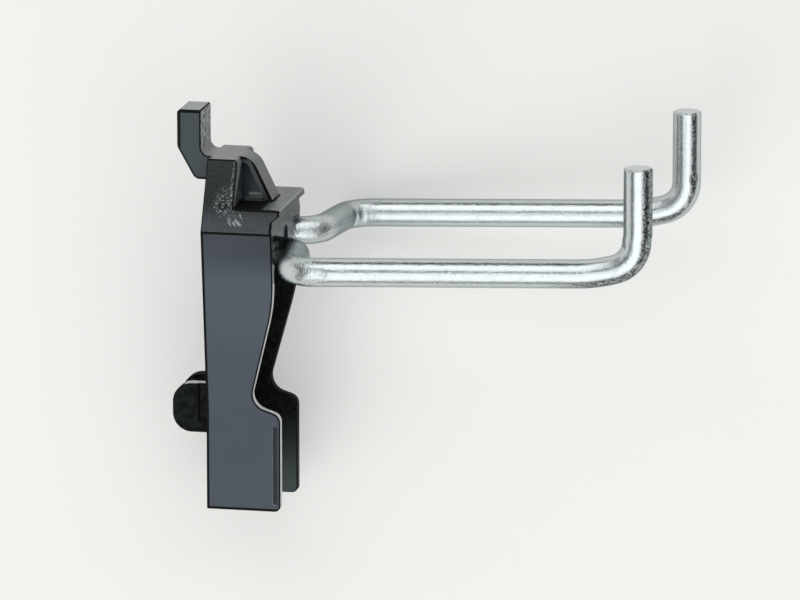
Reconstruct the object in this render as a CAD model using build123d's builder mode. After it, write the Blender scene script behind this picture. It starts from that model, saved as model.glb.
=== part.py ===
"""Double tool hook for a perforated sheet-metal panel with square holes, in millimetres.

A moulded plastic clip grips the panel with a hook at the top and a split snap lug below it.
One bent wire sits in the closed upper block of the clip and carries two parallel prongs.
X points away from the panel, Y lies across it and Z is up. The origin is on the back face of
the clip, at its foot, midway between the prongs.
"""
import os
from math import atan, cos, radians, sin, tan

from build123d import *

# Wire: its thickness and the places of its centre line
wire_diameter = 5.0
wire_height = 47.3
base_depth = 5.0
exit_spacing = 16.8
prong_spacing = 50.0
joggle_depth = 16.5
joggle_advance = 2.45
prong_reach = 79.7
prong_rise_angle = 2.2
upstand_length = 18.6

# Wire: bends, as radii of the centre line
base_bend_radius = 4.0
inner_joggle_radius = 4.7
outer_joggle_radius = 5.0
lead_in_angle = 13.5
lead_in_radius = 28.0
lead_in_straight = 0.25
upstand_bend_radius = 5.3
tip_chamfer = 0.3

# Clip: side outline. Depths are in front of the panel, and each rise or drop is from the wire or
# from the form below it
foot_depth = 13.25
foot_corner_radius = 1.1
shoulder_height = 17.4
shoulder_radius = 1.8
notch_inset = 5.45
notch_rise = 1.8
notch_radius = 3.0
knee_drop = 9.4
knee_radius = 30.0
front_depth = 12.6
cap_rise = 7.45
cap_overhang = 1.2
cap_bevel_height = 0.95
cap_edge_height = 1.1
cap_corner_radius = 0.6
block_depth = 5.45
block_rise = 7.9
block_corner_radius = 0.8

# Clip: front outline, as full widths
foot_width = 16.2
flare_height = 18.2
waist_width = 24.2
waist_rise = 3.6
lean_angle = 26.0

# Clip: walls of the open channel
side_wall = 1.8
back_wall = 2.0
channel_drop = 1.5
channel_corner_radius = 2.6
rim_groove_width = 1.15
rim_groove_depth = 0.3
rim_groove_inset = 0.25
rim_groove_foot = 1.2
rim_groove_headroom = 2.0
wire_saddle_wall = 1.2

# Clip: rib that props the block on the cap
rib_flange_width = 5.6
rib_flange_thickness = 1.2
rib_web_thickness = 2.2
rib_top_reach = 1.65
rib_foot_reach = 5.5
rib_bend_radius = 3.5
rib_pocket_radius = 1.0
rib_cove_radius = 0.6

# Clip: slot in the front wall between the two wire exits
slot_width = 2.8
slot_rise = 4.1
slot_depth = 3.6

# Hook behind the panel sheet
sheet_gap = 1.7
hook_width = 8.3
hook_thickness = 4.3
hook_rise = 8.1
shank_thickness = 4.25
shank_slope_depth = 3.2
shank_slope_height = 5.7
throat_radius = 1.5
hook_nose_chamfer = 0.45
hook_edge_chamfer = 0.5

# Split snap lug behind the panel sheet
lug_height = 17.45
lug_depth = 6.8
lug_tallness = 8.8
lug_corner_radius = 3.4
lug_span = 10.2
lug_plate = 2.6
lug_neck_relief = 0.45
lug_neck_clearance = 0.35
lug_sill_height = 2.2

# Run past a face, so that a cut leaves no skin
cut_clearance = 1.0
# Half the thickness of the slices in which edges are picked
tolerance = 0.01


# Bent wire: one rod, a square-bottomed U whose legs are joggled apart and turned up at the ends
half_exit = exit_spacing / 2
half_spacing = prong_spacing / 2
prong_slope = tan(radians(prong_rise_angle))
lead_in_rise = radians(prong_rise_angle + lead_in_angle)
lead_in_length = (
    lead_in_radius * tan(radians(lead_in_angle) / 2)
    + lead_in_straight
    + upstand_bend_radius * tan((radians(90) - lead_in_rise) / 2)
)
prong_start = joggle_depth + joggle_advance
lead_in_depth = prong_reach - lead_in_length * cos(lead_in_rise)
lead_in_height = wire_height + prong_slope * (lead_in_depth - prong_start)
corner_height = lead_in_height + lead_in_length * sin(lead_in_rise)
tip_height = wire_height + prong_slope * (prong_reach - prong_start) + upstand_length


def leg(side):
    """Centre line corners of one leg, from the base of the U to the tip."""
    return [
        (base_depth, side * half_exit, wire_height),
        (joggle_depth, side * half_exit, wire_height),
        (prong_start, side * half_spacing, wire_height),
        (lead_in_depth, side * half_spacing, lead_in_height),
        (prong_reach, side * half_spacing, corner_height),
        (prong_reach, side * half_spacing, tip_height),
    ]


leg_radii = [base_bend_radius, inner_joggle_radius, outer_joggle_radius, lead_in_radius, upstand_bend_radius]

with BuildPart() as wire_hook:
    with BuildLine() as centre_line:
        FilletPolyline(*reversed(leg(-1)), *leg(1), radius=[*reversed(leg_radii), *leg_radii])
    with BuildSketch(Plane(origin=leg(-1)[-1], z_dir=(0, 0, -1))):
        Circle(wire_diameter / 2)
    sweep(path=centre_line.wires()[0], transition=Transition.ROUND)
    tips = wire_hook.faces().filter_by(Axis.Z).sort_by(Axis.Z)[-2:]
    chamfer(tips.edges(), tip_chamfer)

wire_hook.part.label = "wire_hook"


# Moulded clip: a flared channel with a closed block above it
lean = tan(radians(lean_angle))
notch_depth = foot_depth - notch_inset
notch_height = shoulder_height + notch_rise
knee_height = wire_height - knee_drop
channel_height = wire_height - channel_drop
slot_height = channel_height + slot_rise
waist_height = wire_height + waist_rise
cap_height = wire_height + cap_rise
block_height = cap_height + block_rise
rib_top_depth = block_depth + rib_top_reach
rib_foot_depth = block_depth + rib_foot_reach
rim_groove_length = shoulder_height - rim_groove_headroom - rim_groove_foot
half_foot = foot_width / 2
half_waist = waist_width / 2
half_crown = half_waist - lean * (block_height - waist_height)
flare = (half_waist - half_foot) / (waist_height - flare_height)
cap_depth = front_depth + cap_overhang
cap_edge_foot = cap_height - cap_edge_height
cap_underside = cap_edge_foot - cap_bevel_height
half_channel = half_foot - side_wall
half_channel_top = half_channel + flare * (channel_height - flare_height)
half_flange = rib_flange_width / 2
half_web = rib_web_thickness / 2
rib_lean = atan((rib_foot_depth - rib_top_depth) / (block_height - cap_height))
rib_pocket_height = block_height - rib_flange_thickness
rib_pocket_foot = rib_foot_depth - rib_flange_thickness / cos(rib_lean)
rib_pocket_top = rib_top_depth + rib_flange_thickness * tan(rib_lean) - rib_flange_thickness / cos(rib_lean)
hook_depth = sheet_gap + hook_thickness
hook_top = block_height + hook_rise
shank_foot = block_height - shank_thickness
shank_straight = hook_depth - shank_slope_depth
half_lug = lug_span / 2
lug_neck_width = sheet_gap + lug_neck_clearance
lug_foot = lug_height - lug_tallness / 2

with BuildPart() as moulded_clip:
    with BuildSketch(Plane.XZ):
        with BuildLine():
            FilletPolyline(
                (0, 0),
                (foot_depth, 0),
                (foot_depth, shoulder_height),
                (notch_depth, notch_height),
                (front_depth, knee_height),
                (front_depth, cap_underside),
                (cap_depth, cap_edge_foot),
                (cap_depth, cap_height),
                (block_depth, cap_height),
                (block_depth, block_height),
                (0, block_height),
                radius=[0, foot_corner_radius, shoulder_radius, notch_radius, knee_radius, 0, 0, 0, 0,
                        block_corner_radius, 0],
                close=True,
            )
        make_face()
    extrude(amount=half_waist, both=True)
    with BuildSketch(Plane.YZ):
        with BuildLine():
            Polyline(
                (-half_foot, 0),
                (half_foot, 0),
                (half_foot, flare_height),
                (half_waist, waist_height),
                (half_crown, block_height),
                (-half_crown, block_height),
                (-half_waist, waist_height),
                (-half_foot, flare_height),
                close=True,
            )
        make_face()
    extrude(amount=foot_depth + cap_depth, both=True, mode=Mode.INTERSECT)
    cap_corners = moulded_clip.edges().filter_by_position(
        Axis.X, cap_depth - tolerance, cap_depth + tolerance).filter_by(Axis.Y, reverse=True)
    fillet(cap_corners, cap_corner_radius)

    # Channel between the two side plates, open in front and at the foot
    with BuildSketch(Plane.YZ.offset(back_wall)):
        with BuildLine():
            FilletPolyline(
                (-half_channel, -cut_clearance),
                (half_channel, -cut_clearance),
                (half_channel, flare_height),
                (half_channel_top, channel_height),
                (-half_channel_top, channel_height),
                (-half_channel, flare_height),
                radius=[0, 0, 0, channel_corner_radius, channel_corner_radius, 0],
                close=True,
            )
        make_face()
    extrude(amount=foot_depth, mode=Mode.SUBTRACT)

    # Slot up the front wall between the two wire exits, with a round top
    with BuildSketch(Plane.YZ.offset(front_depth - slot_depth)):
        with BuildLine():
            Polyline(
                (-slot_width / 2, slot_height - slot_width / 2),
                (-slot_width / 2, channel_height - cut_clearance),
                (slot_width / 2, channel_height - cut_clearance),
                (slot_width / 2, slot_height - slot_width / 2),
            )
            ThreePointArc(
                (slot_width / 2, slot_height - slot_width / 2),
                (0, slot_height),
                (-slot_width / 2, slot_height - slot_width / 2),
            )
        make_face()
    extrude(amount=slot_depth + cut_clearance, mode=Mode.SUBTRACT)

    # Rib from the block down to the cap: a bent flange on a central web
    with BuildSketch(Plane.XZ):
        with BuildLine():
            FilletPolyline(
                (cut_clearance, cap_underside),
                (rib_foot_depth, cap_underside),
                (rib_foot_depth, cap_height),
                (rib_top_depth, block_height),
                (cut_clearance, block_height),
                radius=[0, 0, 0, rib_bend_radius, 0],
                close=True,
            )
        make_face()
    extrude(amount=half_flange, both=True)
    for side in (-1, 1):
        with BuildSketch(Plane.XZ.offset(side * half_web)):
            with BuildLine():
                FilletPolyline(
                    (block_depth, cap_height),
                    (rib_pocket_foot, cap_height),
                    (rib_pocket_top, rib_pocket_height),
                    (block_depth, rib_pocket_height),
                    radius=[0, 0, rib_pocket_radius, 0],
                    close=True,
                )
            make_face()
        extrude(amount=side * (half_flange - half_web + cut_clearance), mode=Mode.SUBTRACT)
        web_edges = moulded_clip.edges().filter_by_position(
            Axis.Y, -side * half_web - tolerance, -side * half_web + tolerance
        ).filter_by_position(Axis.X, block_depth - tolerance, rib_foot_depth).filter_by_position(
            Axis.Z, cap_height - tolerance, block_height)
        fillet(web_edges, rib_cove_radius)

    # Hook: a shank back through the panel and an upright behind the sheet
    with BuildSketch(Plane.XZ):
        with BuildLine():
            FilletPolyline(
                (cut_clearance, shank_foot),
                (-shank_straight, shank_foot),
                (-hook_depth, shank_foot + shank_slope_height),
                (-hook_depth, hook_top - hook_nose_chamfer),
                (-hook_depth + hook_nose_chamfer, hook_top),
                (-sheet_gap, hook_top),
                (-sheet_gap, block_height),
                (cut_clearance, block_height),
                radius=[0, throat_radius, throat_radius, 0, 0, 0, throat_radius, 0],
                close=True,
            )
        make_face()
    extrude(amount=hook_width / 2, both=True)
    hook_edges = moulded_clip.edges().filter_by_position(
        Axis.X, -hook_depth - tolerance, -sheet_gap - throat_radius).filter_by(
        lambda edge: abs(abs(edge.center().Y) - hook_width / 2) < tolerance)
    chamfer(hook_edges, hook_edge_chamfer)

    # Snap lug: two rounded plates side by side, each thinner where it passes the sheet
    for side in (-1, 1):
        with BuildSketch(Plane.XZ.offset(side * (half_lug - lug_plate))):
            with BuildLine():
                FilletPolyline(
                    (cut_clearance, lug_foot),
                    (-lug_depth, lug_foot),
                    (-lug_depth, lug_foot + lug_tallness),
                    (cut_clearance, lug_foot + lug_tallness),
                    radius=[0, lug_corner_radius, lug_corner_radius, 0],
                    close=True,
                )
            make_face()
        extrude(amount=side * lug_plate)
        with BuildSketch(Plane.XZ.offset(side * (half_lug - lug_neck_relief))):
            with BuildLine():
                Polyline(
                    (0, lug_foot + lug_sill_height),
                    (-lug_neck_width, lug_foot + lug_sill_height),
                    (-lug_neck_width, lug_foot + lug_tallness + cut_clearance),
                    (0, lug_foot + lug_tallness + cut_clearance),
                    close=True,
                )
            make_face()
        extrude(amount=side * (lug_neck_relief + cut_clearance), mode=Mode.SUBTRACT)

    # Shallow groove down each side plate beside its free edge
    for side in (-1, 1):
        with BuildSketch(Plane.XZ.offset(side * (half_foot - rim_groove_depth))):
            with Locations((
                foot_depth - rim_groove_inset - rim_groove_width / 2,
                rim_groove_foot + rim_groove_length / 2,
            )):
                SlotOverall(rim_groove_length, rim_groove_width, rotation=90)
        extrude(amount=side * (rim_groove_depth + cut_clearance), mode=Mode.SUBTRACT)

    # Saddle that closes the block under the base of the wire
    with BuildSketch(Plane.XZ):
        with Locations((base_depth, wire_height)):
            Circle(wire_diameter / 2 + wire_saddle_wall)
    extrude(amount=half_channel_top, both=True)

    # Seat of the wire
    add(wire_hook.part, mode=Mode.SUBTRACT)

moulded_clip.part.label = "moulded_clip"

os.makedirs("parts", exist_ok=True)
export_step(moulded_clip.part, "parts/moulded_clip.step")
export_step(wire_hook.part, "parts/wire_hook.step")
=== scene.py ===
from math import atan2, cos, pi, radians, sin, tan

import bpy
from mathutils import Matrix, Vector


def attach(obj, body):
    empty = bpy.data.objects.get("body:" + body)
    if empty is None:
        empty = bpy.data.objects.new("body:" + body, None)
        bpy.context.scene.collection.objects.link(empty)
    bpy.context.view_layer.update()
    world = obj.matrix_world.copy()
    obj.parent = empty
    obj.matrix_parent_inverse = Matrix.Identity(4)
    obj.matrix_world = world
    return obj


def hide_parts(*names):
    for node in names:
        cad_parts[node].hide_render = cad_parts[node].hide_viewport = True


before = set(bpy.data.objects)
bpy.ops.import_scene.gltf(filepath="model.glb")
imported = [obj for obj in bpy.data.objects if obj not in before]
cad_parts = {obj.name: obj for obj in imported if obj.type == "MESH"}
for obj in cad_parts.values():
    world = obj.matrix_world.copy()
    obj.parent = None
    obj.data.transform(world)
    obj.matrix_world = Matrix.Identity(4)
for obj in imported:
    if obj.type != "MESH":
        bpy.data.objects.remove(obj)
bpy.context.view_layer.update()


# Moulded clip: one injection moulding in black plastic. It grips the panel behind it and holds the
# wire in its block. The mould leaves softly rounded edges, a satin grain, a parting line round the
# waist and the scar of the gate on the near side.
MM = 0.001
waist_height, waist_half_width = 50.9, 12.1
lean_slope = 0.488
front_depth, cap_overhang, cap_top = 12.6, 1.2, 54.75
block_depth = 5.45
sheet_gap = 1.7
flange_half_width = 2.8
back_wall = 2.0
lug_top = 25
neck_top = 46
clip_edge_radius = 0.24
gate_depth, gate_height = 3.6, 55.2


class Term:
    """One shader socket, for use in sums."""

    def __init__(self, shade, socket):
        self.shade = shade
        self.socket = socket

    def math(self, operation, *others):
        sockets = dict(enumerate([self, *others]))
        node = self.shade.add("ShaderNodeMath", {"operation": operation}, sockets)
        return Term(self.shade, node.outputs[0])

    def __add__(self, other):
        return self.math("ADD", other)

    def __sub__(self, other):
        return self.math("SUBTRACT", other)

    def __mul__(self, other):
        return self.math("MULTIPLY", other)

    def __rsub__(self, other):
        return self.math("MULTIPLY", -1.0).math("ADD", other)

    def __abs__(self):
        return self.math("ABSOLUTE")

    __radd__ = __add__
    __rmul__ = __mul__

    def over(self, low, high):
        """0 below low, 1 above high, and smooth between them. A high below low turns it round."""
        sockets = {"Value": self, "From Min": low, "From Max": high}
        node = self.shade.add("ShaderNodeMapRange", {"interpolation_type": "SMOOTHSTEP"}, sockets)
        return Term(self.shade, node.outputs["Result"])

    def band(self, centre, half, soft):
        """1 within half of centre, and 0 past soft more."""
        return abs(self - centre).over(half + soft, half)


class Shade:
    """The nodes of one material or of the world."""

    def __init__(self, name, world=False):
        kind = bpy.data.worlds if world else bpy.data.materials
        self.block = kind.new(name)
        self.block.use_nodes = True
        self.tree = self.block.node_tree
        self.tree.nodes.clear()
        self.out = self.add("ShaderNodeOutputWorld" if world else "ShaderNodeOutputMaterial")

    def add(self, kind, settings=None, sockets=None):
        """A node of that kind: its settings first, then the values or links of its sockets."""
        node = self.tree.nodes.new(kind)
        for name, value in (settings or {}).items():
            setattr(node, name, value)
        for name, value in (sockets or {}).items():
            socket = node.inputs[name]
            if isinstance(value, Term):
                self.tree.links.new(value.socket, socket)
            else:
                socket.default_value = value
        return node

    def term(self, kind, output, settings=None, sockets=None):
        """One output of such a node."""
        return Term(self, self.add(kind, settings, sockets).outputs[output])

    def place(self):
        """Object coordinates in millimetres."""
        metres = self.term("ShaderNodeTexCoord", "Object")
        return self.term("ShaderNodeVectorMath", 0, {"operation": "SCALE"}, {0: metres, "Scale": 1000.0})

    def stretched(self, vector, scale):
        """A pattern's coordinates, scaled by a different number on each axis."""
        return self.term("ShaderNodeVectorMath", 0, {"operation": "MULTIPLY"}, {0: vector, 1: scale})

    def along(self, vector, direction):
        sockets = {0: vector, 1: direction}
        return self.term("ShaderNodeVectorMath", "Value", {"operation": "DOT_PRODUCT"}, sockets)

    def parts(self, vector):
        node = self.add("ShaderNodeSeparateXYZ", None, {0: vector})
        return [Term(self, socket) for socket in node.outputs]

    def noise(self, vector, scale, detail=2.0, roughness=0.5):
        sockets = {"Vector": vector, "Scale": scale, "Detail": detail, "Roughness": roughness}
        return self.term("ShaderNodeTexNoise", 0, None, sockets)

    def mix(self, factor, a, b):
        return self.term("ShaderNodeMix", 2, {"data_type": "RGBA"}, {0: factor, 6: a, 7: b})

    def bump(self, height, distance):
        return self.term("ShaderNodeBump", 0, None, {"Height": height, "Distance": distance})

    def blend(self, factor, first, second):
        node = self.add("ShaderNodeMixShader", None, {0: factor})
        self.tree.links.new(first.outputs[0], node.inputs[1])
        self.tree.links.new(second.outputs[0], node.inputs[2])
        return node

    def surface(self, sockets, shadowed=None):
        """The material, pitch black and without gloss where it is shadowed."""
        shader = self.add("ShaderNodeBsdfPrincipled", None, sockets)
        if shadowed is not None:
            pitch = {"Base Color": (0.006, 0.006, 0.005, 1), "Roughness": 0.7, "Specular IOR Level": 0.04}
            shader = self.blend(shadowed, shader, self.add("ShaderNodeBsdfPrincipled", None, pitch))
        self.tree.links.new(shader.outputs[0], self.out.inputs[0])
        return self.block


def moulded_black(name, plate_colour, block_colour, roughness, gloss, outlined):
    """The skin of the clip, one colour below the waist and one above, with the parting line between.
    Outlined is how dark the painted shade along the clip's outline goes, from 0 to 1."""
    shade = Shade(name)
    place = shade.place()
    x, y, z = shade.parts(place)
    grain = shade.noise(place, 5.0, 3.0, 0.65)
    cloud = shade.noise(place, 0.16, 2.0)
    speck = shade.noise(place, 2.4, 3.0, 0.7)
    block = z.over(waist_height - 0.05, waist_height + 0.05)
    line = z.band(waist_height - 0.2, 0.2, 0.06) * abs(y).over(11.2, 11.7)

    # Painted shade: dark lines along the outline, where the edges turn away, and in the groove of the rim
    outline = x.over(0.55, 0.4) * (1 - block) + z.over(0.6, 0.45) + x.over(-5.2, -5.35) * block
    groove = x.band(12.3, 0.3, 0.15) * z.band(8.4, 6.8, 0.3) * abs(y).over(7.6, 7.7) * 0.6

    # Painted sheen on what faces up, painted shade on the sunk ledge beside the rib, and the worn face
    # that bears on the panel, whose paleness is partly painted sheen
    facing = shade.parts(shade.term("ShaderNodeNewGeometry", "Normal"))[2]
    upward_sheen = facing.over(0.6, 0.9) * block * (0.26 + z.over(63.5, 69.0) * 0.74)
    sunk = facing.over(0.6, 0.9) * z.band(cap_top, 0.3, 0.2) * y.over(-2.6, -2.9) * x.over(10.9, 10.2)
    bearing = x.band(-sheet_gap, 0.03, 0.06) * z.over(62.6, 63.4)
    wrinkle = shade.noise(place, 1.5, 2.0, 0.6).over(0.42, 0.54)

    # Painted shade on the rib flange's thin side, and painted light on the block's front beside the rib
    slope = (x - 7.9) * 0.902 + (z - 61.0) * 0.432
    flange = y.band(-flange_half_width, 0.1, 0.05) * z.band(58.8, 3.7, 0.1)
    flange = flange * (0.3 + slope.over(-0.55, -0.4) + z.over(62.0, 62.15)).math("MINIMUM", 1.0)
    inset = y + waist_half_width - (z - waist_height) * lean_slope - z.over(55.0, 62.0) * 1.8
    jamb = x.band(block_depth, 0.05, 0.05) * z.over(54.9, 55.1) * inset.over(1.7, 1.2)

    # Bruised corner below the waist, where the block meets the near plate
    bruise = x.over(8.5, 12.0) * z.over(40.0, 46.0) * speck.over(0.5, 0.62)

    # The colour, layer on layer: each mask with the colour that it lays on
    base = shade.mix(block, plate_colour, block_colour)
    for mask, colour in (
        # painted light on the block's front beside the rib
        (jamb, (0.20, 0.22, 0.22, 1)),
        (z.over(26.0, 36.0) * z.over(48.0, 42.0), (0.056, 0.070, 0.088, 1)),
        (z.over(42.0, 48.0) * (1 - block), (0.036, 0.045, 0.055, 1)),
        (cloud.over(0.35, 0.65) * (1 - block) * 0.15, (0.070, 0.080, 0.090, 1)),
        # painted sheen on the upward faces
        (upward_sheen, (0.16, 0.185, 0.185, 1)),
        # wear on the bearing face, paler partly by painted sheen
        (bearing * (0.1 + wrinkle * 0.9), (0.36, 0.38, 0.375, 1)),
        (speck.over(0.64, 0.74) * 0.5, (0.06, 0.07, 0.08, 1)),
    ):
        base = shade.mix(mask, base, colour)
    height = (grain - 0.5) * (0.5 + bearing * 3.0)
    height = height + speck * (0.4 + bearing * 4.0 + bruise * 2.0) - line * 5.0
    # Pitch black for the parting line, and as painted shade along the outline, groove, sunk ledge and
    # flange
    return shade.surface({
        "Base Color": base,
        "Roughness": roughness + cloud * 0.08 + bearing * 0.3,
        "Normal": shade.bump(height, 0.02 * MM),
        "Specular IOR Level": gloss,
    }, (line + outline * outlined + sunk + groove + flange).math("MINIMUM", 1.0))


def edge_black():
    """The rounded edges, black and almost without gloss, so that they show as dark lines."""
    shade = Shade("edge_black")
    return shade.surface({
        "Base Color": (0.003, 0.003, 0.003, 1),
        "Roughness": 0.55,
        "Specular IOR Level": 0.1,
    })


def flank_black():
    """The leaning sides of the block, smoother and blacker, with the gate's scar and flow marks."""
    shade = Shade("flank_black")
    place = shade.place()
    x, y, z = shade.parts(place)
    near = y.over(0.0, -2.0)
    grain = shade.noise(place, 4.2, 3.0, 0.7)
    speck = shade.noise(place, 3.1, 4.0, 0.75)
    turned = shade.term(
        "ShaderNodeVectorRotate", 0, {"rotation_type": "Y_AXIS"}, {"Vector": place, "Angle": radians(38)})
    scratch = shade.noise(shade.stretched(turned, (3.5, 1.0, 0.5)), 1.0, 2.0, 0.6)

    # Ring of the gate, bright scuffs round it and streaks in front of it, and the block's rubbed rim
    gate_x, gate_z = x - gate_depth, z - gate_height
    from_gate = (gate_x * gate_x + gate_z * gate_z).math("SQRT")
    ring = from_gate.band(0.6, 0.06, 0.14) * 0.75
    scuff = (from_gate - gate_x * 0.35 - gate_z * 0.2).over(2.9, 1.2) * speck.over(0.52, 0.60)
    streak = x.band(6.0, 0.8, 0.8) * z.band(53.2, 0.9, 0.6) * scratch.over(0.52, 0.6)
    rim = (x - 4.75 - (z - 57.0) * 0.04).band(0.0, 0.14, 0.12) * z.band(60.0, 3.2, 0.4)
    rim = rim * speck.over(0.47, 0.58) * 0.6
    pale = ((scuff + streak + rim) * near).math("MINIMUM", 1.0)
    low = z.over(55.5, 52.0)
    base = shade.mix(low * 0.8, (0.010, 0.014, 0.014, 1), (0.044, 0.052, 0.060, 1))
    base = shade.mix(speck.over(0.44, 0.64) * (0.3 + low * 0.5), base, (0.062, 0.072, 0.080, 1))
    base = shade.mix(pale * 0.65, base, (0.34, 0.37, 0.38, 1))
    height = (grain - 0.5) * 0.8 + speck * 1.2 + ring * near * 3.0 - pale * 1.5

    # Painted shade: a dark line along the front of the cap and along its top
    lip = front_depth + z.over(52.6, 53.75) * cap_overhang
    outline = (x - lip).over(-0.5, -0.35) + z.band(cap_top, 0.32, 0.1) * x.over(5.5, 5.7)
    return shade.surface({
        "Base Color": base,
        "Roughness": 0.30 + speck * 0.1,
        "Normal": shade.bump(height, 0.02 * MM),
        "Specular IOR Level": 0.24,
    }, (ring * near + outline).math("MINIMUM", 1.0))


def dull_and_shaded_black():
    """Dull near-black for the snap lug, and painted shade in the rib's pockets, channel and far rim."""
    shade = Shade("dull_and_shaded_black")
    place = shade.place()
    x, y, z = shade.parts(place)
    cloud = shade.noise(place, 0.9, 3.0, 0.6)

    # Paler low in the channel and in the rib's pockets, with a painted highlight along the near pocket's
    # foot
    pocket_foot_highlight = y.over(-0.9, -1.05) * x.band(8.2, 1.5, 0.7) * z.band(55.7, 0.15, 0.2)
    base = shade.mix(cloud.over(0.4, 0.65), (0.003, 0.004, 0.003, 1), (0.010, 0.013, 0.012, 1))
    base = shade.mix(z.over(16.0, 2.0) * x.over(0.0, 2.0), base, (0.050, 0.063, 0.063, 1))
    base = shade.mix(z.over(53.5, 54.5) * (0.3 + x.over(5.6, 8.2) * 0.7), base, (0.10, 0.11, 0.12, 1))
    return shade.surface({
        "Base Color": shade.mix(pocket_foot_highlight, base, (0.30, 0.30, 0.28, 1)),
        "Roughness": 0.6 + cloud * 0.1,
        "Specular IOR Level": 0.07,
    })


def highlight_black(name, grey):
    """Painted highlight for the near plate's front edges, the cap's front edges and the lug's near top.
    """
    shade = Shade(name)
    highlight_patches = shade.noise(shade.place(), 1.2, 3.0, 0.6)
    dull, bright = [(level, level * 1.03, level * 1.03, 1) for level in (grey * 0.9, grey * 1.1)]
    return shade.surface({
        "Base Color": shade.mix(highlight_patches.over(0.3, 0.7), dull, bright),
        "Roughness": 0.35 + highlight_patches * 0.1,
        "Specular IOR Level": 0.5,
    })


def in_rib_pocket(spot):
    """The hollows either side of the rib's web, whose edges stay sharp."""
    return 4.0 < spot.x < 10.0 and abs(spot.y) < 3.2 and 53.5 < spot.z < 63.0


def in_rim_groove(spot):
    """The shallow groove in the rim of each side plate, too fine for rounded edges."""
    return 11.8 < spot.x < 13.05 and abs(spot.y) > 7.5 and 1.1 < spot.z < 15.5


SATIN, EDGE, FLANK, DULL_AND_SHADED, HIGHLIGHT, PLATE, CAP_HIGHLIGHT = range(7)


def finish_of(face):
    """The finish of one face, by its place and the way it faces."""
    spot, normal = face.center / MM, face.normal
    across, turn = abs(spot.y), abs(normal.y)

    # Snap lug, with a painted highlight on top of its near half, and the rib's pockets,
    # with painted shade on the sides of the web
    if spot.x < -0.1 and spot.z < lug_top:
        return HIGHLIGHT if normal.z > 0.9 and spot.y < -1 else DULL_AND_SHADED
    if in_rib_pocket(spot) and spot.x < 9.3:
        return DULL_AND_SHADED if across < 2.7 and normal.z < 0.05 and normal.x < 0.9 else SATIN

    # Front rims of the side plates, with a painted highlight on the near one and painted shade on the
    # far one, and the inside of the channel in painted shade
    rim = 5.5 < across < 14 and 0.3 < spot.z < neck_top and spot.x > 5
    inward = spot.y * normal.y < 0 or (normal.x > 0.9 and spot.x < back_wall + 0.1)
    if rim and turn < 0.5 and normal.x > -0.2:
        return HIGHLIGHT if spot.y < 0 else DULL_AND_SHADED
    if back_wall - 0.1 < spot.x and spot.z < neck_top and across < 12 and inward:
        return DULL_AND_SHADED

    # Near corner of the cap, leaning flanks, and the chamfers of the hook
    if spot.x > 12.9 and spot.y < 0 and 52 < spot.z < 54.7 and 0.3 < turn < 0.82:
        return EDGE
    if spot.z > waist_height and turn > 0.8 and 0.3 < normal.z < 0.6:
        return FLANK
    if spot.x < 0 and spot.z > waist_height and 0.6 < turn < 0.8:
        return EDGE
    return PLATE if turn > 0.9 else SATIN


def clip_moulding():
    """The CAD clip again, with its flats whole and its sharp edges rounded."""
    satin = moulded_black(
        "satin_black", (0.030, 0.040, 0.050, 1), (0.034, 0.043, 0.050, 1),
        roughness=0.22, gloss=0.5, outlined=0.0)
    plate = moulded_black(
        "plate_black", (0.045, 0.057, 0.074, 1), (0.039, 0.050, 0.056, 1),
        roughness=0.30, gloss=0.2, outlined=1.0)
    highlight, painted_reflection = highlight_black("highlight_black", 0.60), highlight_black("cap_highlight_black", 0.24)
    bpy.ops.object.select_all(action="DESELECT")
    clip = bpy.data.objects.new("clip_moulding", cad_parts["moulded_clip"].data.copy())
    bpy.context.scene.collection.objects.link(clip)
    bpy.context.view_layer.objects.active = clip
    clip.select_set(True)
    clip.data.materials.clear()
    for material in (satin, edge_black(), flank_black(), dull_and_shaded_black(), highlight, plate, painted_reflection):
        clip.data.materials.append(material)

    # The CAD's triangles are joined into whole flats, and the sharp edges chosen for rounding
    bpy.ops.mesh.customdata_custom_splitnormals_clear()
    bpy.ops.object.mode_set(mode="EDIT")
    bpy.ops.mesh.select_mode(type="EDGE")
    bpy.ops.mesh.select_all(action="SELECT")
    bpy.ops.mesh.remove_doubles(threshold=0.002 * MM)
    bpy.ops.mesh.dissolve_limited(angle_limit=radians(0.4))
    bpy.ops.mesh.select_all(action="DESELECT")
    bpy.ops.mesh.edges_select_sharp(sharpness=radians(60))
    bpy.ops.object.mode_set(mode="OBJECT")
    weights = clip.data.attributes.new("bevel_weight_edge", "FLOAT", "EDGE")
    corners = clip.data.vertices
    for edge, weight in zip(clip.data.edges, weights.data):
        middle = (corners[edge.vertices[0]].co + corners[edge.vertices[1]].co) / 2 / MM
        kept_sharp = in_rib_pocket(middle) or in_rim_groove(middle)
        weight.value = float(edge.select and not kept_sharp)
    for face in clip.data.polygons:
        face.material_index = finish_of(face)
    rounding = clip.modifiers.new("rounding", "BEVEL")
    rounding.width = clip_edge_radius * MM
    rounding.segments = 3
    rounding.limit_method = "WEIGHT"
    rounding.use_clamp_overlap = False
    rounding.harden_normals = True
    rounding.material = EDGE
    bpy.ops.object.shade_smooth_by_angle(angle=radians(35))

    # The two flats of each side plate keep the fold between them
    beside = {}
    for face in clip.data.polygons:
        for key in face.edge_keys:
            beside.setdefault(key, []).append(abs(face.normal.y))
    for edge in clip.data.edges:
        if min(beside[edge.key]) > 0.9:
            edge.use_edge_sharp = True
    bpy.ops.object.modifier_apply(modifier="rounding")

    # The cap's front edges get a dimmer painted highlight as well
    for face in clip.data.polygons:
        spot = face.center / MM
        front = spot.x > 12 and 52 < spot.z < 55.5 and abs(face.normal.y) < 0.4
        if face.material_index == EDGE and front:
            face.material_index = CAP_HIGHLIGHT
    return clip


clip = clip_moulding()
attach(clip, "root")
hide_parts("moulded_clip")


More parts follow.
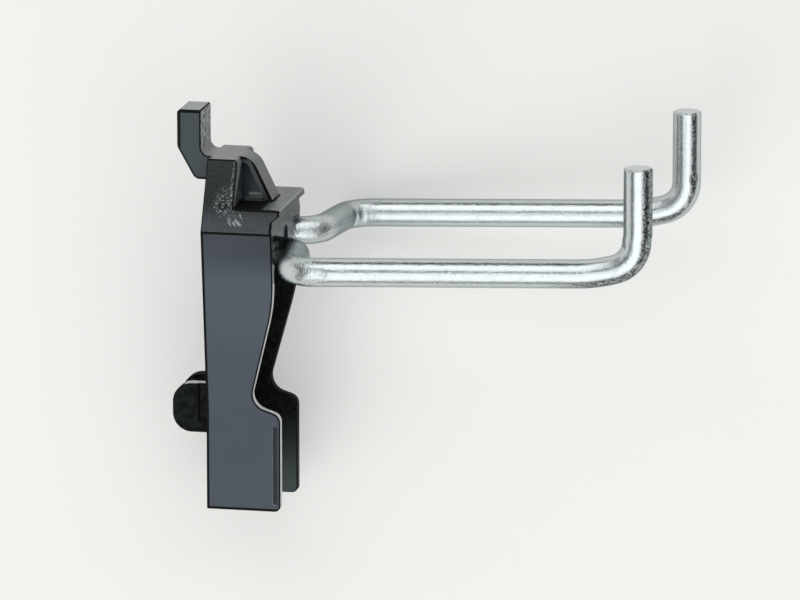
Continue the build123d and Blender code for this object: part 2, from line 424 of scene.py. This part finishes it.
# Prong wire: one length of 5 mm steel rod, cold bent round formers and then bright zinc plated.
# It is modelled as it is bent, from one tip to the middle of its base in the clip, and mirrored.
# Drawing leaves faint streaks along the rod, and the bending tools leave flats and nicks.
wire_radius = 2.5
wire_sides = 48
wire_height = 47.3
wire_base_depth = 5.0
exit_spacing, prong_spacing = 16.8, 50.0
joggle_depth, prong_start = 16.5, 18.95
prong_reach = 79.7
prong_rise, lead_in_rise = radians(2.2), radians(15.7)
upstand_length = 18.6
tip_chamfer = 0.3
upstand_bend, lead_in_bend, lead_in_straight = 5.3, 28.0, 0.25
outer_joggle_bend, inner_joggle_bend, base_bend = 5.0, 4.7, 4.0
straight_ring_spacing, bend_ring_spacing = 0.5, 0.4
grip_start, grip_end, grip_depth = 12.0, 24.0, 0.2

# The far half counts its length from here, well past the 108.5 mm of the near half
far_prong_start = 200


class Rod:
    """A rod that is extruded and bent in edit mode, ring by ring, from its tip. It keeps where each
    ring lies: the length from the tip, the place, the heading and the side that is over the bends."""

    def __init__(self, tip, heading, over):
        self.place, self.heading, self.over = tip, heading, over
        self.rings = [(0.0, tip, heading, over)]

    def log(self, length):
        self.rings.append((self.rings[-1][0] + length, self.place, self.heading, self.over))

    def run(self, length):
        cuts = max(1, round(length / straight_ring_spacing))
        move = self.heading * (length / cuts)
        for _ in range(cuts):
            bpy.ops.mesh.extrude_edges_move(TRANSFORM_OT_translate={"value": move * MM})
            self.place = self.place + move
            self.log(length / cuts)

    def bend(self, radius, heading):
        angle = self.heading.angle(heading)
        axis = self.heading.cross(heading).normalized()
        centre = self.place + axis.cross(self.heading) * radius
        cuts = round(angle * radius / bend_ring_spacing)
        for _ in range(cuts):
            bpy.ops.mesh.spin(steps=1, angle=-angle / cuts, center=centre * MM, axis=axis)
            turn = Matrix.Rotation(angle / cuts, 3, axis)
            self.place = centre + turn @ (self.place - centre)
            self.heading = turn @ self.heading
            self.over = turn @ self.over
            self.log(radius * angle / cuts)


def prong_wire():
    """The rod, bent from the near tip to the middle of its base, and mirrored."""
    lead_in_length = (lead_in_bend * tan((lead_in_rise - prong_rise) / 2) + lead_in_straight
                      + upstand_bend * tan((pi / 2 - lead_in_rise) / 2))
    lead_in_depth = prong_reach - lead_in_length * cos(lead_in_rise)
    lead_in_height = wire_height + tan(prong_rise) * (lead_in_depth - prong_start)
    tip_height = wire_height + tan(prong_rise) * (prong_reach - prong_start) + upstand_length
    corners = [
        Vector((prong_reach, -prong_spacing / 2, tip_height)),
        Vector((prong_reach, -prong_spacing / 2, lead_in_height + lead_in_length * sin(lead_in_rise))),
        Vector((lead_in_depth, -prong_spacing / 2, lead_in_height)),
        Vector((prong_start, -prong_spacing / 2, wire_height)),
        Vector((joggle_depth, -exit_spacing / 2, wire_height)),
        Vector((wire_base_depth, -exit_spacing / 2, wire_height)),
        Vector((wire_base_depth, 0, wire_height)),
    ]
    bends = [upstand_bend, lead_in_bend, outer_joggle_bend, inner_joggle_bend, base_bend]

    tip, tip_radius = corners[0], wire_radius - tip_chamfer
    bpy.ops.object.select_all(action="DESELECT")
    bpy.ops.mesh.primitive_circle_add(
        vertices=wire_sides, radius=tip_radius * MM, fill_type="NOTHING", location=tip * MM)
    wire = bpy.context.object
    wire.name = "bent_wire"
    bpy.ops.object.transform_apply(location=True, rotation=True, scale=True)
    bpy.ops.object.mode_set(mode="EDIT")
    bpy.ops.mesh.select_mode(type="VERT")
    rod = Rod(tip, Vector((0, 0, -1)), Vector((1, 0, 0)))
    rod.run(tip_chamfer)
    bpy.ops.transform.resize(value=[wire_radius / tip_radius] * 3, center_override=rod.place * MM)
    for corner, after, radius in zip(corners[1:], corners[2:], bends):
        heading = (after - corner).normalized()
        tangent = radius * tan(rod.heading.angle(heading) / 2)
        rod.run((corner - rod.place).length - tangent)
        rod.bend(radius, heading)
    rod.run((corners[-1] - rod.place).length)
    bpy.ops.object.mode_set(mode="OBJECT")

    # The tip's flat end, each point's place on the rod, and the far prong as the near one's twin
    for vertex in wire.data.vertices:
        vertex.select = vertex.index < wire_sides
    bpy.ops.object.mode_set(mode="EDIT")
    bpy.ops.mesh.edge_face_add()
    bpy.ops.object.mode_set(mode="OBJECT")
    rod_place = wire.data.attributes.new("rod_place", "FLOAT_VECTOR", "POINT")
    for vertex, value in zip(wire.data.vertices, rod_place.data):
        length, place, heading, over = rod.rings[vertex.index // wire_sides]
        offset = vertex.co / MM - place
        value.vector = (length, offset.dot(over), offset.dot(heading.cross(over)))
    twin = wire.modifiers.new("twin", "MIRROR")
    twin.use_axis = (False, True, False)
    twin.merge_threshold = 0.01 * MM
    bpy.ops.object.modifier_apply(modifier="twin")
    for vertex, value in zip(wire.data.vertices, wire.data.attributes["rod_place"].data):
        if vertex.co.y > 0:
            value.vector.x += far_prong_start
    bpy.ops.object.mode_set(mode="EDIT")
    bpy.ops.mesh.select_all(action="SELECT")
    bpy.ops.mesh.normals_make_consistent(inside=False)
    bpy.ops.object.mode_set(mode="OBJECT")
    bpy.ops.object.shade_smooth_by_angle(angle=radians(35))
    return wire


def press(wire, length, turn, reach, breadth, depth):
    """A flat or nick: its place along the rod, turn round it, half length, half width and depth."""
    turn = radians(turn)
    for vertex, value in zip(wire.data.vertices, wire.data.attributes["rod_place"].data):
        along = abs(value.vector.x - length) / reach
        round_rod = atan2(value.vector.z, value.vector.y) - turn
        round_rod = abs(atan2(sin(round_rod), cos(round_rod))) * wire_radius / breadth
        if along < 1 and round_rod < 1:
            vertex.co -= vertex.normal * depth * MM * (1 - along * along) * (1 - round_rod * round_rod)


def set_off(wire):
    """The near upstand is set a little inwards where the bending tool took hold."""
    for vertex, value in zip(wire.data.vertices, wire.data.attributes["rod_place"].data):
        length = value.vector.x
        if grip_start < length < grip_end:
            bite = min(1, (length - grip_start) / 0.5) * (grip_end - length) / (grip_end - grip_start)
            vertex.co.x -= grip_depth * MM * bite


def bright_zinc():
    """Bright plating over the drawn rod, crumpled where the rod is bent."""
    shade = Shade("bright_zinc")
    rod = shade.term("ShaderNodeAttribute", "Vector", {"attribute_name": "rod_place"})
    along, over, _ = shade.parts(rod)
    far = along.math("GREATER_THAN", far_prong_start - 50)
    one = along - far * far_prong_start
    bends = one.band(84.0, 11.0, 4.0) + one.band(15.5, 3.0, 3.0) * 0.45
    streaks = shade.noise(shade.stretched(rod, (0.10, 2.2, 2.2)), 1.0, 3.0, 0.6)
    peel = shade.noise(shade.stretched(rod, (0.8, 1.0, 1.0)), 2.3, 2.0, 0.6)
    pits = shade.noise(rod, 4.6, 2.0, 0.6)
    crumple = shade.noise(shade.stretched(rod, (1.0, 0.7, 0.7)), 2.2, 3.0, 0.65)
    cloud = shade.noise(rod, 0.35, 3.0, 0.6)
    height = streaks * 0.5 + pits * 1.2 + peel * (1.1 + bends * 1.2) + crumple * bends * 3.5

    # Painted dark reflection, mottled, outside each upstand, and painted shade on the near prong's root
    painted_reflection = over.over(0.8, 1.5) * one.over(34.0, 22.0) * (1 - far * over.over(1.7, 2.1))
    mottle = shade.noise(rod, 3.6, 1.0, 0.5).over(0.45, 0.53)
    root_shade = one.over(87.0, 90.0) * (1 - far)
    dark = (painted_reflection * (0.2 + mottle * 0.75)).math("MAXIMUM", root_shade * (0.75 + mottle * 0.24))
    base = shade.mix(cloud, (0.55, 0.60, 0.60, 1), (0.66, 0.70, 0.71, 1))
    return shade.surface({
        "Base Color": shade.mix(dark, base, (0.03, 0.035, 0.035, 1)),
        "Metallic": 1.0,
        "Specular Tint": (0.46, 0.51, 0.53, 1),
        "Roughness": 0.06 + cloud * 0.06 + bends * 0.05,
        "Normal": shade.bump(height, 0.03 * MM),
    })


def sheared_end():
    """The flat ends of the rod, sheared before they are plated."""
    shade = Shade("sheared_end")
    tear = shade.noise(shade.place(), 1.6, 3.0, 0.6)
    return shade.surface({
        "Base Color": shade.mix(tear, (0.50, 0.54, 0.54, 1), (0.66, 0.70, 0.70, 1)),
        "Metallic": 1.0,
        "Roughness": 0.30 + tear * 0.1,
        "Normal": shade.bump(tear, 0.03 * MM),
    })


wire = prong_wire()
set_off(wire)
for mark in (
    (14.2, 150, 0.9, 0.8, 0.25),
    (13.0, 20, 0.9, 0.9, 0.2),
    (far_prong_start + 11.8, -50, 0.7, 0.8, 0.25),
    (far_prong_start + 78.3, -80, 1.1, 2.4, 0.35),
    (far_prong_start + 75.0, -95, 1.7, 1.9, 0.25),
    (far_prong_start + 92.5, -110, 1.4, 1.6, 0.1),
    (72.0, 80, 2.4, 1.8, 0.18),
    (88.0, 60, 1.8, 1.8, 0.18),
):
    press(wire, *mark)
bpy.ops.object.select_all(action="DESELECT")
bpy.context.view_layer.objects.active = wire
wire.select_set(True)
wire.data.materials.append(bright_zinc())
wire.data.materials.append(sheared_end())
for face in wire.data.polygons:
    face.material_index = int(len(face.vertices) == wire_sides)
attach(wire, "root")
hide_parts("wire_hook")


# Camera: a long lens, held level at the photo's angle, with the object filling the frame. Its three
# directions also place the floor, the studio and the lamp.
azimuth, elevation = radians(11.6), radians(12.8)
camera_distance = 1.4
back = Vector((sin(azimuth) * cos(elevation), -cos(azimuth) * cos(elevation), sin(elevation)))
side = Vector((cos(azimuth), sin(azimuth), 0))
up = back.cross(side)
aim = Vector((33.1, 0, 37.45)) * MM
camera = bpy.data.objects.new("camera", bpy.data.cameras.new("camera"))
bpy.context.scene.collection.objects.link(camera)
camera.location = aim + back * camera_distance
camera.rotation_euler = (-back).to_track_quat("-Z", "Y").to_euler()
camera.data.sensor_width = 36
camera.data.lens = 359.1
camera.data.clip_start = 0.05
camera.data.clip_end = 20
bpy.context.scene.camera = camera


# Floor: the pale sheet that the object lies on in the photo, square to the camera. From behind it
# lets the camera see through, so that it hides nothing in other views.
sheet_size, sheet_drop = 3, 13.5
sheet_glow = 0.3


def pale_sheet():
    """Matt pale card, partly lit by itself, and clear from behind."""
    shade = Shade("pale_sheet")
    card = shade.add("ShaderNodeBsdfPrincipled", None, {
        "Base Color": (0.765, 0.765, 0.741, 1), "Roughness": 0.9, "Specular IOR Level": 0.1})
    glow = shade.add("ShaderNodeEmission", None, {"Color": (0.885, 0.893, 0.868, 1), "Strength": 1.0})
    clear = shade.add("ShaderNodeBsdfTransparent")
    behind = shade.term("ShaderNodeNewGeometry", "Backfacing")
    seen = shade.term("ShaderNodeLightPath", "Is Camera Ray")
    mixed = shade.blend(behind * seen, shade.blend(seen * sheet_glow, card, glow), clear)
    shade.tree.links.new(mixed.outputs[0], shade.out.inputs[0])
    return shade.block


bpy.ops.object.select_all(action="DESELECT")
bpy.ops.mesh.primitive_plane_add(size=sheet_size, location=back * -sheet_drop * MM)
sheet = bpy.context.object
sheet.name = "floor_sheet"
sheet.rotation_euler = back.to_track_quat("Z", "Y").to_euler()
sheet.data.materials.append(pale_sheet())


# Studio: one tall soft box in front of the object, with a gap a little above the camera, and a pale
# wall on the left, in a room that is dim beside them. A lamp low on the left gives the shadows.
room_level, box_level, wall_level, bench_level = 0.14, 1.42, 0.75, 0.2
backdrop_level = 0.87
lamp_distance, lamp_size, lamp_power = 2.6, 2.0, 26.0


def studio():
    """The room as the object sees it, by the direction of each ray, and a plain pale backdrop."""
    shade = Shade("studio", world=True)
    ray = shade.term("ShaderNodeTexCoord", "Generated")
    across = shade.along(ray, side)
    above = shade.along(ray, up)
    ahead = shade.along(ray, back)
    box = ahead.over(0.05, 0.2) * above.band(0.0, 0.87, 0.06) * (1 - above.band(0.145, 0.095, 0.05))
    box = box * across.over(-0.64, -0.48) * across.over(1.0, 0.25)
    wall = across.over(-0.80, -0.90) * ahead.over(-0.4, -0.1)
    room = room_level * (1 - above.over(0.85, 0.95) * 0.8)
    level = room + box * box_level + wall * wall_level + above.over(-0.85, -0.95) * bench_level
    seen = shade.term("ShaderNodeLightPath", "Is Camera Ray")
    strength = level * (1 - seen) + seen * backdrop_level
    light = shade.add("ShaderNodeBackground", None, {"Color": (0.99, 1.0, 1.0, 1), "Strength": strength})
    shade.tree.links.new(light.outputs[0], shade.out.inputs[0])
    bpy.context.scene.world = shade.block


def low_left_box():
    """The lamp, on the camera's side. The gloss doesn't mirror it."""
    towards = back - side * 0.75 - up * 0.85
    lamp = bpy.data.lights.new("low_left_box", "AREA")
    lamp.shape = "RECTANGLE"
    lamp.size = lamp.size_y = lamp_size
    lamp.energy = lamp_power
    box = bpy.data.objects.new("low_left_box", lamp)
    bpy.context.scene.collection.objects.link(box)
    box.location = aim + towards.normalized() * lamp_distance
    box.rotation_euler = towards.to_track_quat("Z", "Y").to_euler()
    box.visible_glossy = False


studio()
low_left_box()

bpy.context.scene.view_settings.view_transform = "Standard"
